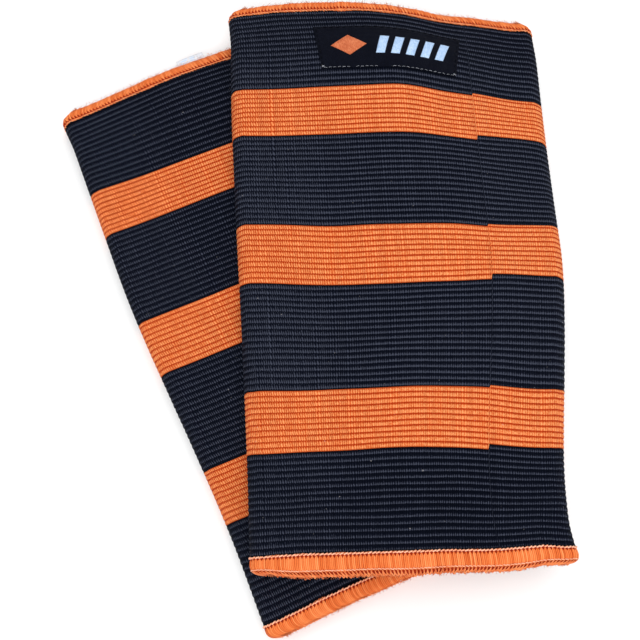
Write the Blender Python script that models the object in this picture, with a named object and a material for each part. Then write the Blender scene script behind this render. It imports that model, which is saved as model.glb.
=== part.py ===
"""A pair of ribbed elastic elbow sleeves, lying flat with one laid across the other.

Each sleeve is a tapered knitted tube of seven colour bands, closed at both ends by an
overlocked thread hem. The rear sleeve lies on the ground plane. The front sleeve lies on
top of it and sinks to the ground beyond its edges. Metres, +Z up, +Y towards the upper-arm
ends, with the origin under the middle of the pair.
"""
import math

import bmesh
import bpy
from mathutils import Vector

# ---------------------------------------------------------------- driving dimensions

BANDS = (                     # name and length along the sleeve, from the forearm end upwards
    ("black_band_4", 0.0381),
    ("orange_band_3", 0.0238),
    ("black_band_3", 0.0428),
    ("orange_band_2", 0.0262),
    ("black_band_2", 0.0428),
    ("orange_band_1", 0.0238),
    ("black_band_1", 0.0405),
)
KNIT_LENGTH = sum(length for _, length in BANDS)
HINGE_BAND = "orange_band_2"  # the elbow crease is at this band's lower edge

WALL = 0.0022                 # thickness of the knit
GAP = 0.0003                  # clearance between pieces that touch
HEM_PROUD = 0.0006            # hem thread standing proud of each face of the knit
NEEDLE_WIDTH = 0.0012         # row of needle thread between the knit and the hem
NEEDLE_PROUD = 0.0009

CORNER_RADIUS = 0.0040        # rounding of the tube's outline at the ends of its side folds
FLARE_LENGTH = 0.020          # length over which an end of the tube flares
END_FOLD_RADIUS = 0.0050      # side folds and crown at the two open ends
END_CROWN = 0.0015
END_LENGTH = 0.032            # length over which the tube flattens towards its ends
BOW_LENGTH = 0.042            # length over which the top edge bows outwards
EASE_LENGTH = 0.163           # the ribs of the front sleeve's right side are pushed together
EASE_SHIFT = 0.0035           # and apart over this length from the foot, by up to this much

DRAPE_FALL = 0.075            # distance in which the front sleeve sinks to the ground
DRAPE_CLEAR = 0.0008          # clearance between the two sleeves
LIFT_HINGE = 0.0006           # height of the elbow axis over the front sleeve's crown

LABEL_SIZE = (0.0640, 0.0222) # woven label, across and along the sleeve
LABEL_STRETCH = 0.12          # its top edge is pulled longer than its bottom edge
LABEL_PLACE = (0.0018, 0.2169)
LABEL_TILT = math.radians(-0.5)
LABEL_THICK = 0.0008
LABEL_LIFT = 0.0008           # clearance under the label, which spans the facets below it
THREAD_THICK = 0.0005
THREAD_LIFT = 0.0004
STITCH_INSET = 0.0009         # label edge to the middle of its stitching
STITCH_WIDTH = 0.0008
BAR_COUNT = 5

CARE_WIDTH = 0.013            # care label folded into the rear sleeve's top hem
CARE_THICK = 0.0008
CARE_INSIDE = 0.014
CARE_OUTSIDE = 0.005
CARE_MIDDLE = -0.0038

TOP_STEPS = 10                # facets across the top and the underside
FOLD_STEPS = 6                # facets around each side fold
BAND_STEP = 0.0150            # longest facet along a band

COLOURS = {                   # linear base colour, roughness, metallic
    "black_knit": ((0.014, 0.016, 0.026), 0.85, 0.0),
    "orange_knit": ((0.72, 0.155, 0.040), 0.80, 0.0),
    "orange_thread": ((0.80, 0.190, 0.055), 0.60, 0.0),
    "label_satin": ((0.009, 0.011, 0.018), 0.45, 0.0),
    "label_stitch": ((0.10, 0.11, 0.14), 0.60, 0.0),
    "emblem_thread": ((0.60, 0.150, 0.060), 0.50, 0.0),
    "pale_blue_thread": ((0.42, 0.60, 0.86), 0.50, 0.0),
    "care_tape": ((0.70, 0.74, 0.78), 0.50, 0.0),
}


class Sleeve:
    """Lie and shape of one sleeve; angles are measured from +Y towards -X.

    foot is the middle of the knit's forearm end, and lean the heading at the forearm end
    and at the upper-arm end. halves are the left and right half widths: at the foot and at
    the top, where the widening starts, how long it is, and what the foot and the top flare
    by. hems are the lengths of the lower and upper hem. top_bow is how far the middle of
    the top edge bows out. pushes are the places where the knit is pushed along: the place
    along, its reach, the share of the half width, its reach, and the shift at the middle.
    """

    def __init__(self, foot, lean, halves, hems, fold_radius, crown, top_bow, pushes):
        self.foot = foot
        self.lean = lean
        self.halves = halves
        self.hems = hems
        self.fold_radius = fold_radius
        self.crown = crown
        self.top_bow = top_bow
        self.pushes = pushes


REAR = Sleeve(
    foot=(0.04249, -0.11098), lean=(math.radians(22.0), math.radians(22.0)),
    halves=((0.0616, 0.0690, 0.020, 0.140, 0.0, 0.0010),
            (0.0615, 0.0705, 0.000, 0.200, 0.0, 0.0)),
    hems=(0.0058, 0.0050), fold_radius=0.0055, crown=0.0030, top_bow=0.0015,
    pushes=((0.200, 0.030, 0.0, 1.8, -0.0022),
            (0.243, 0.045, -1.0, 0.9, -0.0024),
            (0.105, 0.025, 0.0, 1.8, 0.0010),
            (0.000, 0.030, -1.0, 0.6, -0.0016)))
FRONT = Sleeve(
    foot=(0.04369, -0.10848), lean=(math.radians(3.2), math.radians(0.3)),
    halves=((0.0626, 0.0701, 0.020, 0.235, 0.0, 0.0014),
            (0.0594, 0.0737, 0.015, 0.110, 0.0026, -0.0008)),
    hems=(0.0078, 0.0045), fold_radius=0.0065, crown=0.0040, top_bow=0.0024,
    pushes=((0.118, 0.100, -0.95, 0.70, 0.0030),
            (0.131, 0.030, 0.60, 0.55, -0.0022),
            (0.055, 0.040, 0.85, 0.40, -0.0011),
            (0.174, 0.025, 0.85, 0.35, 0.0018),
            (0.186, 0.035, 0.35, 0.30, -0.0014),
            (0.243, 0.050, 0.95, 0.60, 0.0022),
            (0.000, 0.045, -0.75, 0.85, 0.0013),
            (0.000, 0.030, 0.55, 0.50, -0.0008),
            (0.243, 0.030, 0.62, 0.30, 0.0013),
            (0.243, 0.030, -0.62, 0.40, 0.0010),
            (0.000, 0.025, 1.0, 0.25, -0.0016),
            (-0.010, 0.012, -1.0, 0.30, 0.0024),
            (-0.010, 0.012, 1.0, 0.40, 0.0020)))


# ---------------------------------------------------------------- shape of a sleeve

def smooth(value):
    """Smooth step from 0 to 1."""
    value = min(max(value, 0.0), 1.0)
    return value * value * (3.0 - 2.0 * value)


def room_to_end(sleeve, along):
    """Distance to the nearer open end, hem included."""
    lower, upper = sleeve.hems
    return min(along + lower, KNIT_LENGTH + upper - along)


def half_width(sleeve, along, side):
    """Flat half width at a distance along the knit; side is negative left, positive right."""
    foot, top, start, reach, foot_flare, top_flare = sleeve.halves[0 if side < 0 else 1]
    lower, upper = sleeve.hems
    width = foot + (top - foot) * smooth((along - start) / reach)
    width += foot_flare * smooth(1.0 - (along + lower) / FLARE_LENGTH)
    width += top_flare * smooth(1.0 - (KNIT_LENGTH + upper - along) / FLARE_LENGTH)
    past = min(max(CORNER_RADIUS - room_to_end(sleeve, along), 0.0), CORNER_RADIUS)
    return width - CORNER_RADIUS + math.sqrt(CORNER_RADIUS ** 2 - past ** 2)


def fullness(sleeve, along):
    """0 at the open ends of the tube, 1 where it is at its full height."""
    return smooth(room_to_end(sleeve, along) / END_LENGTH)


def fold_radius(sleeve, along):
    return END_FOLD_RADIUS + (sleeve.fold_radius - END_FOLD_RADIUS) * fullness(sleeve, along)


def crown(sleeve, along):
    return END_CROWN + (sleeve.crown - END_CROWN) * fullness(sleeve, along)


def flat_edges(sleeve, along):
    """Sideways places where the flat of the tube meets its two side folds."""
    radius = fold_radius(sleeve, along)
    return radius - half_width(sleeve, along, -1), half_width(sleeve, along, 1) - radius


def section_point(sleeve, along, turn, out):
    """Sideways place and height of a point on the section, out from the outer face.

    turn runs 0 to 1 across the top from left to right, 1 to 2 down the right fold,
    2 to 3 back across the underside and 3 to 4 up the left fold. What stands proud of
    the underside is pressed flat.
    """
    radius = fold_radius(sleeve, along)
    left, right = flat_edges(sleeve, along)
    side = int(turn) % 4
    step = turn - int(turn)
    if side == 0:
        rise = crown(sleeve, along) * math.sin(math.pi * step) ** 2
        return left + (right - left) * step, 2.0 * radius + rise + out
    if side == 2:
        return right + (left - right) * step, max(-out, 0.0)
    middle = right if side == 1 else left
    angle = math.pi / 2 - math.pi * step - (0.0 if side == 1 else math.pi)
    height = radius + (radius + out) * math.sin(angle)
    return middle + (radius + out) * math.cos(angle), max(height, 0.0)


def lean_at(sleeve, along):
    start, end = sleeve.lean
    return start + (end - start) * along / KNIT_LENGTH


def centre_at(sleeve, along):
    """Centre line: an arc that starts at the foot and turns evenly."""
    half_turn = (lean_at(sleeve, along) - sleeve.lean[0]) / 2.0
    chord = along if abs(half_turn) < 1e-9 else along * math.sin(half_turn) / half_turn
    heading = sleeve.lean[0] + half_turn
    return sleeve.foot[0] - chord * math.sin(heading), sleeve.foot[1] + chord * math.cos(heading)


def drape(x, y):
    """Height at which the front sleeve lies over the rear sleeve and the ground."""
    lean = REAR.lean[0]
    dx, dy = x - REAR.foot[0], y - REAR.foot[1]
    across = dx * math.cos(lean) + dy * math.sin(lean)
    along = dy * math.cos(lean) - dx * math.sin(lean)
    side_room = half_width(REAR, along, across) - abs(across)
    top = 2.0 * REAR.fold_radius + REAR.crown + DRAPE_CLEAR
    return top * smooth(1.0 + min(side_room, room_to_end(REAR, along)) / DRAPE_FALL)


def pushed(sleeve, along, spread):
    """How far the knit is pushed towards the top at a place."""
    shift = 0.0
    for place, reach, side, side_reach, amount in sleeve.pushes:
        near = smooth(1.0 - abs(along - place) / reach)
        shift += amount * near * smooth(1.0 - abs(spread - side) / side_reach)
    return shift


def tube_point(sleeve, along, turn, out):
    """World point of a sleeve's surface."""
    across, height = section_point(sleeve, along, turn, out)
    spread = across / half_width(sleeve, along, across)
    near_top = smooth((along - KNIT_LENGTH) / BOW_LENGTH + 1.0)
    along += pushed(sleeve, along, spread)
    along += sleeve.top_bow * max(1.0 - spread * spread, 0.0) * near_top
    if sleeve is FRONT:
        along -= EASE_SHIFT * smooth(spread) * math.sin(
            math.tau * min(max(along / EASE_LENGTH, 0.0), 1.0))
    lean = lean_at(sleeve, along)
    x, y = centre_at(sleeve, along)
    x += across * math.cos(lean)
    y += across * math.sin(lean)
    if sleeve is FRONT:
        height += drape(x, y)
    return Vector((x, y, height))


def top_point(sleeve, across, along, out):
    """World point on or above the upper face."""
    left, right = flat_edges(sleeve, along)
    return tube_point(sleeve, along, (across - left) / (right - left), out)


# ---------------------------------------------------------------- scene helpers

def clear_scene():
    for item in list(bpy.data.objects):
        bpy.data.objects.remove(item, do_unlink=True)


def make_material(name):
    colour, roughness, metallic = COLOURS[name]
    material = bpy.data.materials.new(name)
    material.use_nodes = True
    shader = material.node_tree.nodes["Principled BSDF"]
    shader.inputs["Base Color"].default_value = (*colour, 1.0)
    shader.inputs["Roughness"].default_value = roughness
    shader.inputs["Metallic"].default_value = metallic
    material.diffuse_color = (*colour, 1.0)
    return material


def add_empty(name, place, parent=None):
    """An empty on a joint's axis, which carries the pieces that move with it."""
    empty = bpy.data.objects.new(name, None)
    empty.empty_display_size = 0.02
    bpy.context.scene.collection.objects.link(empty)
    empty.location = place
    if parent is not None:
        empty.parent = parent
        empty.location = place - parent.location
    return empty


def add_piece(name, shape, material, carrier, place):
    """Turn a bmesh in world coordinates into a named object on its carrier."""
    bmesh.ops.recalc_face_normals(shape, faces=shape.faces)
    bmesh.ops.translate(shape, verts=shape.verts, vec=-place)
    mesh = bpy.data.meshes.new(name)
    shape.to_mesh(mesh)
    shape.free()
    mesh.materials.append(material)
    mesh.shade_smooth()
    mesh.set_sharp_from_angle(angle=math.radians(40.0))
    piece = bpy.data.objects.new(name, mesh)
    bpy.context.scene.collection.objects.link(piece)
    if carrier is None:
        piece.location = place
    else:
        piece.parent = carrier
    return piece


def join_loops(shape, loops):
    """Bridge closed loops of points, and the last loop back to the first."""
    rows = [[shape.verts.new(point) for point in loop] for loop in loops]
    for row, following in zip(rows, rows[1:] + rows[:1]):
        for index, corner in enumerate(row):
            after = (index + 1) % len(row)
            shape.faces.new((corner, row[after], following[after], following[index]))


# ---------------------------------------------------------------- pieces

def turns():
    """Places around the section, with finer steps on the folds than on the flats."""
    values = []
    for side in range(4):
        count = TOP_STEPS if side % 2 == 0 else FOLD_STEPS
        values += [side + step / count for step in range(count)]
    return values


def ring(sleeve, profile):
    """A closed wall swept around the sleeve; the profile is (along, out) points."""
    shape = bmesh.new()
    around = turns()
    join_loops(shape, [[tube_point(sleeve, along, turn, out) for turn in around]
                       for along, out in profile])
    return shape


def band_profile(low, high):
    count = math.ceil((high - low) / BAND_STEP)
    stations = [low + (high - low) * step / count for step in range(count + 1)]
    return [(along, 0.0) for along in stations] + [(along, -WALL) for along in reversed(stations)]


def needle_profile(edge, way):
    near = edge + way * GAP
    far = near + way * NEEDLE_WIDTH
    inner = -WALL - HEM_PROUD
    return [(near, NEEDLE_PROUD), (far, NEEDLE_PROUD), (far, inner), (near, inner)]


def hem_profile(hem_length, edge, way):
    """Rounded wrap of thread over the raw edge; way is +1 at the top, -1 at the foot."""
    near = edge + way * (2.0 * GAP + NEEDLE_WIDTH)
    shoulder = edge + way * 0.80 * hem_length
    tip = edge + way * hem_length
    inner = -WALL - HEM_PROUD
    return [(near, HEM_PROUD), (shoulder, HEM_PROUD), (tip, -0.25 * WALL),
            (tip, -0.75 * WALL), (shoulder, inner), (near, inner)]


def plate(sleeve, corners, low, high, steps):
    """Thin plate on the upper face between four (across, along) corners."""
    (count_u, count_v) = steps
    shape = bmesh.new()
    layers = []
    for out in (low, high):
        rows = []
        for row in range(count_v + 1):
            v = row / count_v
            start = [corners[0][i] * (1 - v) + corners[3][i] * v for i in (0, 1)]
            end = [corners[1][i] * (1 - v) + corners[2][i] * v for i in (0, 1)]
            rows.append([shape.verts.new(top_point(sleeve, *[
                start[i] + (end[i] - start[i]) * column / count_u for i in (0, 1)], out))
                for column in range(count_u + 1)])
        layers.append(rows)
    for rows in layers:
        for row, following in zip(rows, rows[1:]):
            for index in range(count_u):
                shape.faces.new((row[index], row[index + 1],
                                 following[index + 1], following[index]))
    rims = [rim_of(rows) for rows in layers]
    for index, corner in enumerate(rims[0]):
        after = (index + 1) % len(rims[0])
        shape.faces.new((corner, rims[0][after], rims[1][after], rims[1][index]))
    return shape


def rim_of(rows):
    """Outline of a grid of vertices, in order."""
    right = [row[-1] for row in rows[1:]]
    left = [row[0] for row in reversed(rows[1:-1])]
    return rows[0] + right + rows[-1][-2::-1] + left


def label_corner(across, along):
    """Turn a place on the label into a place on the sleeve."""
    across *= 1.0 + LABEL_STRETCH * along / LABEL_SIZE[1]
    cosine, sine = math.cos(LABEL_TILT), math.sin(LABEL_TILT)
    return (LABEL_PLACE[0] + across * cosine - along * sine,
            LABEL_PLACE[1] + across * sine + along * cosine)


def label_quad(middle, size, slant=0.0):
    """Corners of a parallelogram on the label; slant shifts its top edge sideways."""
    half_u, half_v = size[0] / 2, size[1] / 2
    return [label_corner(middle[0] + u * half_u + v * slant / 2, middle[1] + v * half_v)
            for u, v in ((-1, -1), (1, -1), (1, 1), (-1, 1))]


def stitched_border(sleeve, low, high):
    """One closed loop of raised stitching just inside the label's edge."""
    loops = []
    for inset, out in ((-1, low), (-1, high), (1, high), (1, low)):
        half_u = LABEL_SIZE[0] / 2 - STITCH_INSET - inset * STITCH_WIDTH / 2
        half_v = LABEL_SIZE[1] / 2 - STITCH_INSET - inset * STITCH_WIDTH / 2
        loop = [(-half_u + 2 * half_u * step / 8, -half_v) for step in range(8)]
        loop += [(half_u, -half_v), (half_u, 0.0)]
        loop += [(half_u - 2 * half_u * step / 8, half_v) for step in range(8)]
        loop += [(-half_u, half_v), (-half_u, 0.0)]
        loops.append([top_point(sleeve, *label_corner(*place), out) for place in loop])
    shape = bmesh.new()
    join_loops(shape, loops)
    return shape


def label_pieces():
    """The woven label and what is sewn on it: (name, shape, material)."""
    back = LABEL_LIFT
    face = back + LABEL_THICK
    low = face + THREAD_LIFT
    high = low + THREAD_THICK
    pieces = [("woven_label", plate(FRONT, label_quad((0, 0), LABEL_SIZE), back, face, (8, 3)),
               "label_satin"),
              ("label_stitching", stitched_border(FRONT, low, high), "label_stitch")]
    emblem = [label_corner(*place) for place in
              ((-0.0260, 0.0), (-0.0180, -0.0052), (-0.0100, 0.0), (-0.0180, 0.0052))]
    pieces.append(("label_emblem", plate(FRONT, emblem, low, high, (3, 3)), "emblem_thread"))
    for number in range(BAR_COUNT):
        middle = (-0.0030 + 0.0068 * number, 0.0)
        shape = plate(FRONT, label_quad(middle, (0.0040, 0.0095), 0.0024), low, high, (1, 3))
        pieces.append((f"label_bar_{number + 1}", shape, "pale_blue_thread"))
    return pieces


def care_label_shape():
    """Care label: a flat tape under the rear sleeve's upper lip, out past the hem."""
    high = -WALL - HEM_PROUD - GAP
    low = high - CARE_THICK
    foot, top = KNIT_LENGTH - CARE_INSIDE, KNIT_LENGTH + REAR.hems[1] + CARE_OUTSIDE
    left, right = CARE_MIDDLE - CARE_WIDTH / 2, CARE_MIDDLE + CARE_WIDTH / 2
    corners = [(left, foot), (right, foot), (right, top), (left, top)]
    return plate(REAR, corners, low, high, (2, 4))


# ---------------------------------------------------------------- assembly

def band_edges():
    """Each band's name with its lower and upper edge, half a gap in from its neighbours."""
    edges = []
    low = 0.0
    for name, length in BANDS:
        high = low + length
        edges.append((name, low + GAP / 2, high - GAP / 2))
        low = high
    return edges


def hinge_place():
    """A point on the elbow axis, over the crown of the front sleeve."""
    along = next(low for name, low, _ in band_edges() if name == HINGE_BAND) - GAP / 2
    x, y = centre_at(FRONT, along)
    top = 2.0 * (REAR.fold_radius + FRONT.fold_radius) + REAR.crown + FRONT.crown
    return Vector((x, y, top + DRAPE_CLEAR + LIFT_HINGE)), along


def add_sleeve(prefix, sleeve, materials, choose_carrier):
    """Seven bands and, at each end, a needle row and a hem of thread."""
    for name, low, high in band_edges():
        colour = name.split("_")[0] + "_knit"
        carrier, place = choose_carrier(low)
        add_piece(f"{prefix}_{name}", ring(sleeve, band_profile(low, high)),
                  materials[colour], carrier, place)
    for end, edge, way, hem_length in (("lower", 0.0, -1.0, sleeve.hems[0]),
                                       ("upper", KNIT_LENGTH, 1.0, sleeve.hems[1])):
        carrier, place = choose_carrier(edge)
        add_piece(f"{prefix}_{end}_needle_row", ring(sleeve, needle_profile(edge, way)),
                  materials["orange_thread"], carrier, place)
        add_piece(f"{prefix}_{end}_hem", ring(sleeve, hem_profile(hem_length, edge, way)),
                  materials["orange_thread"], carrier, place)


def main():
    clear_scene()
    materials = {name: make_material(name) for name in COLOURS}

    rear_place = Vector((*REAR.foot, 0.0))
    add_sleeve("rear", REAR, materials, lambda along: (None, rear_place))
    add_piece("rear_care_label", care_label_shape(), materials["care_tape"], None, rear_place)

    lift_place = Vector((*FRONT.foot, 0.0))
    lift = add_empty("front_lift_axis", lift_place)
    bend_place, bend_along = hinge_place()
    bend = add_empty("front_bend_axis", bend_place, lift)
    add_sleeve("front", FRONT, materials,
               lambda along: (bend, bend_place) if along > bend_along else (lift, lift_place))
    for name, shape, slot in label_pieces():
        add_piece(name, shape, materials[slot], bend, bend_place)


main()
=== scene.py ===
"""Looks of a pair of ribbed elastic elbow sleeves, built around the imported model.

The shape of a sleeve follows the same driving dimensions as the CAD. Each colour band
gets a knitted skin with real ribs, each hem its wrapped thread, needle loops and edge
chain, and the labels their weave and stitching. Metres, +Z up.
"""
import math
from functools import partialmethod
from typing import NamedTuple

import bpy
import numpy as np
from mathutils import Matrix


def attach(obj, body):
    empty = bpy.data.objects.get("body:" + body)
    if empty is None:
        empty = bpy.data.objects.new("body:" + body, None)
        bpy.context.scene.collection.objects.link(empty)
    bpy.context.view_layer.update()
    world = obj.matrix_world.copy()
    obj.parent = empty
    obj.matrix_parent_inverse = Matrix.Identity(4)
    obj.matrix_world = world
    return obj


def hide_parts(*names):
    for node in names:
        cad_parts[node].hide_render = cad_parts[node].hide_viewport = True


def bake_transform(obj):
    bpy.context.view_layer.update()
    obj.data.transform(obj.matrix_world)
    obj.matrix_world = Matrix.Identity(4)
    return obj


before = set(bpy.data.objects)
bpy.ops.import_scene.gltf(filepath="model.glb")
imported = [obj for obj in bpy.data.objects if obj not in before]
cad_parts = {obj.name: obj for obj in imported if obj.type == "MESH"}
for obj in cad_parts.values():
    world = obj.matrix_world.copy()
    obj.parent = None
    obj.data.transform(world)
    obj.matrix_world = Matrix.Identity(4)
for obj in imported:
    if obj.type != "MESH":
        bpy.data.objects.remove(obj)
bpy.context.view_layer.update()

# ---- dimensions shared with the CAD

BANDS = (  # name, number of ribs and length, from the forearm end upwards
    ("black_band_4", 16, 0.0381),
    ("orange_band_3", 11, 0.0238),
    ("black_band_3", 18, 0.0428),
    ("orange_band_2", 11, 0.0262),
    ("black_band_2", 17, 0.0428),
    ("orange_band_1", 10, 0.0238),
    ("black_band_1", 15, 0.0405),
)
EDGE_RIBS = np.cumsum([0] + [ribs for _, ribs, _ in BANDS])
EDGE_PLACES = np.cumsum([0.0] + [length for _, _, length in BANDS])
KNIT_LENGTH = float(EDGE_PLACES[-1])
RIB_PITCH = KNIT_LENGTH / float(EDGE_RIBS[-1])
HINGE_BAND = "orange_band_2"
WALL = 0.0022
HEM_PROUD = 0.0006
CORNER_RADIUS = 0.0040
FLARE_LENGTH = 0.020
END_FOLD_RADIUS = 0.0050
END_CROWN = 0.0015
END_LENGTH = 0.032
BOW_LENGTH = 0.042
EASE_LENGTH = 0.163
EASE_SHIFT = 0.0035
DRAPE_FALL = 0.075
DRAPE_CLEAR = 0.0008
LABEL_SIZE = (0.0640, 0.0222)
LABEL_STRETCH = 0.12
LABEL_PLACE = (0.0018, 0.2169)
LABEL_TILT = math.radians(-0.5)
STITCH_INSET = 0.0009
BAR_COUNT = 5
CARE_WIDTH = 0.013
CARE_INSIDE = 0.014
CARE_OUTSIDE = 0.005
CARE_MIDDLE = -0.0038

# ---- detail of the looks

ROWS_PER_RIB = 10  # rows of the outer skin in one rib
INNER_ROWS_PER_RIB = 2
FLAT_COLUMNS = 100  # columns of the skin across each flat and round each fold
FOLD_COLUMNS = 20
FLAT_WIDTH = 0.13  # about a sleeve's flat width, for the waves of its noise
WALES = 300  # knit stitches around the tube
RIB_CREST = 0.00010  # crest of a rib over the CAD face, and its depth below it
RIB_DEPTH = 0.00026
# CREST_PLACE also sets where the painted highlight lies on each rib
CREST_PLACE = 0.22  # a rib is highest and lightest near its lower edge,
CREST_FALL = 0.60  # and falls to its upper groove over this share of it
FOLD_CALM = 0.45  # how much shallower the grooves are on the folds
WANDER = 0.00010  # how far the ribs stray from straight
# the rear sleeve's high rib numbers also give it its painted shade in the knit material
REAR_RIBS = 200.0  # the rear sleeve's ribs are numbered from here in its material
ORANGE_STARTS = 1.0  # ribs by which a colour starts higher right of the round's start
BLACK_STARTS = 0.35
JOG_WIDTH = 0.003  # in turns
FOLD_SLANT = 0.45  # lean of the stitches on the left fold, in wales a rib

STITCH_PITCH = 0.00150  # overlock stitches along a hem
EDGE_PITCH = 0.00140  # loops of the edge chain
STRAND_PITCH = 0.00068  # bundles of thread that cross the hem
THREAD_RADIUS = 0.00021
THREAD_TAPER = 0.45  # share of its radius that a thread keeps at its ends
ROPE_RADIUS = 0.00030  # needle loops of the lower hems
FLAT_RADIUS = 0.00024  # needle loops of the upper hems, and the edge chain
RIM_RADIUS = 0.00020
HEM_LAP = 0.0006  # the wrap laps over the knit's last rib
# the needles' holes and the dark dots by the edge chain are painted shade on the wrap
LOWER_HOLES = (0.0003, 0.0013)  # where the needles' holes start past the knit's edge,
UPPER_HOLES = (0.0003, 0.0018)  # and how long they are
RIM_HOLES = 0.0009  # from the hem's outer edge to the dark dots beside it
NO_HOLES = 0.02  # added to a place on the wrap where no hole is wanted
FUZZ_COUNT = 420
FUZZ_RADIUS = 0.00006

UP = np.array([0.0, 0.0, 1.0])


class Sleeve(NamedTuple):
    """Lie and shape of one sleeve; angles are measured from +Y towards -X."""
    foot: tuple
    lean: tuple  # at the foot and at the top
    halves: tuple  # left and right: half width at the foot and at the top, where the widening
    #                starts, how long it is, and what the foot and the top flare by
    hems: tuple  # lengths of the lower and upper hem
    fold_radius: float
    crown: float
    top_bow: float
    pushes: tuple  # where the knit is pushed along: the place along, its reach, the share of
    #                the half width, its reach, and the shift at the middle
    jog_turn: float  # where a round of knitting starts


REAR = Sleeve(
    foot=(0.04249, -0.11098), lean=(math.radians(22.0), math.radians(22.0)),
    halves=((0.0616, 0.0690, 0.020, 0.140, 0.0, 0.0010),
            (0.0615, 0.0705, 0.000, 0.200, 0.0, 0.0)),
    hems=(0.0058, 0.0050), fold_radius=0.0055, crown=0.0030, top_bow=0.0015,
    pushes=((0.200, 0.030, 0.0, 1.8, -0.0022), (0.243, 0.045, -1.0, 0.9, -0.0024),
            (0.105, 0.025, 0.0, 1.8, 0.0010), (0.000, 0.030, -1.0, 0.6, -0.0016)),
    jog_turn=2.40)
FRONT = Sleeve(
    foot=(0.04369, -0.10848), lean=(math.radians(3.2), math.radians(0.3)),
    halves=((0.0626, 0.0701, 0.020, 0.235, 0.0, 0.0014),
            (0.0594, 0.0737, 0.015, 0.110, 0.0026, -0.0008)),
    hems=(0.0078, 0.0045), fold_radius=0.0065, crown=0.0040, top_bow=0.0024,
    pushes=((0.118, 0.100, -0.95, 0.70, 0.0030), (0.131, 0.030, 0.60, 0.55, -0.0022),
            (0.055, 0.040, 0.85, 0.40, -0.0011), (0.174, 0.025, 0.85, 0.35, 0.0018),
            (0.186, 0.035, 0.35, 0.30, -0.0014), (0.243, 0.050, 0.95, 0.60, 0.0022),
            (0.000, 0.045, -0.75, 0.85, 0.0013), (0.000, 0.030, 0.55, 0.50, -0.0008),
            (0.243, 0.030, 0.62, 0.30, 0.0013), (0.243, 0.030, -0.62, 0.40, 0.0010),
            (0.000, 0.025, 1.0, 0.25, -0.0016), (-0.010, 0.012, -1.0, 0.30, 0.0024),
            (-0.010, 0.012, 1.0, 0.40, 0.0020)),
    jog_turn=0.782)


# ---- shape of a sleeve

def smooth(value):
    """Smooth step from 0 to 1."""
    value = np.clip(value, 0.0, 1.0)
    return value * value * (3.0 - 2.0 * value)


def near(value, place, reach):
    """1 at a place, and smoothly down to 0 a reach away from it."""
    return smooth(1.0 - np.abs(value - place) / reach)


def room_to_end(sleeve, along):
    lower, upper = sleeve.hems
    return np.minimum(along + lower, KNIT_LENGTH + upper - along)


def half_width(sleeve, along, side):
    """Flat half width at a distance along the knit; side is negative left, positive right."""
    widths = []
    lower, upper = sleeve.hems
    near_foot = smooth(1.0 - (along + lower) / FLARE_LENGTH)
    near_top = smooth(1.0 - (KNIT_LENGTH + upper - along) / FLARE_LENGTH)
    for foot, top, start, reach, foot_flare, top_flare in sleeve.halves:
        width = foot + (top - foot) * smooth((along - start) / reach)
        widths.append(width + foot_flare * near_foot + top_flare * near_top)
    past = np.clip(CORNER_RADIUS - room_to_end(sleeve, along), 0.0, CORNER_RADIUS)
    corner = CORNER_RADIUS - np.sqrt(CORNER_RADIUS ** 2 - past ** 2)
    return np.where(side < 0, *widths) - corner


def fuller(sleeve, along, at_end, inside):
    """A size that grows from the open ends of the tube to where it is at its full height."""
    return at_end + (inside - at_end) * smooth(room_to_end(sleeve, along) / END_LENGTH)


def fold_radius(sleeve, along):
    return fuller(sleeve, along, END_FOLD_RADIUS, sleeve.fold_radius)


def flat_edges(sleeve, along):
    """Sideways places where the flat of the tube meets its two side folds."""
    radius = fold_radius(sleeve, along)
    return radius - half_width(sleeve, along, -1.0), half_width(sleeve, along, 1.0) - radius


def pressed(turn):
    """0 on the upper face, 1 on the underside, where nothing stands proud of the tube."""
    side = np.floor(turn) % 4
    step = turn - np.floor(turn)
    return np.select([side == 1, side == 2, side == 3],
                     [smooth(step), 1.0, smooth(1.0 - step)], 0.0)


def section_point(sleeve, along, turn, out, proud):
    """Sideways place and height of a point on the section, out from the outer face.

    turn runs 0 to 1 rightwards across the top, to 2 down the right fold, to 3 back across
    the underside and to 4 up the left fold. proud is how far the piece stands off the outer
    face, and is taken off on the underside.
    """
    out = out - proud * pressed(turn)
    radius = fold_radius(sleeve, along)
    left, right = flat_edges(sleeve, along)
    side = np.floor(turn) % 4
    step = turn - np.floor(turn)
    rise = fuller(sleeve, along, END_CROWN, sleeve.crown) * np.sin(np.pi * step) ** 2
    angle = np.pi / 2 - np.pi * step - np.where(side == 1, 0.0, np.pi)
    middle = np.where(side == 1, right, left)
    across = np.select([side == 0, side == 2],
                       [left + (right - left) * step, right + (left - right) * step],
                       middle + (radius + out) * np.cos(angle))
    height = np.select([side == 0, side == 2], [2.0 * radius + rise + out, -out],
                       radius + (radius + out) * np.sin(angle))
    return across, np.maximum(height, 0.0)


def lean_at(sleeve, along):
    start, end = sleeve.lean
    return start + (end - start) * along / KNIT_LENGTH


def centre_at(sleeve, along):
    """Centre line: an arc that starts at the foot and turns evenly."""
    half_turn = (lean_at(sleeve, along) - sleeve.lean[0]) / 2.0
    chord = along * np.sinc(half_turn / np.pi)
    heading = sleeve.lean[0] + half_turn
    return sleeve.foot[0] - chord * np.sin(heading), sleeve.foot[1] + chord * np.cos(heading)


def drape(x, y):
    """Height at which the front sleeve lies over the rear sleeve and the ground."""
    lean = REAR.lean[0]
    dx, dy = x - REAR.foot[0], y - REAR.foot[1]
    across = dx * math.cos(lean) + dy * math.sin(lean)
    along = dy * math.cos(lean) - dx * math.sin(lean)
    side_room = half_width(REAR, along, across) - np.abs(across)
    end_room = room_to_end(REAR, along)
    top = 2.0 * REAR.fold_radius + REAR.crown + DRAPE_CLEAR
    return top * smooth(1.0 + np.minimum(side_room, end_room) / DRAPE_FALL)


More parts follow.
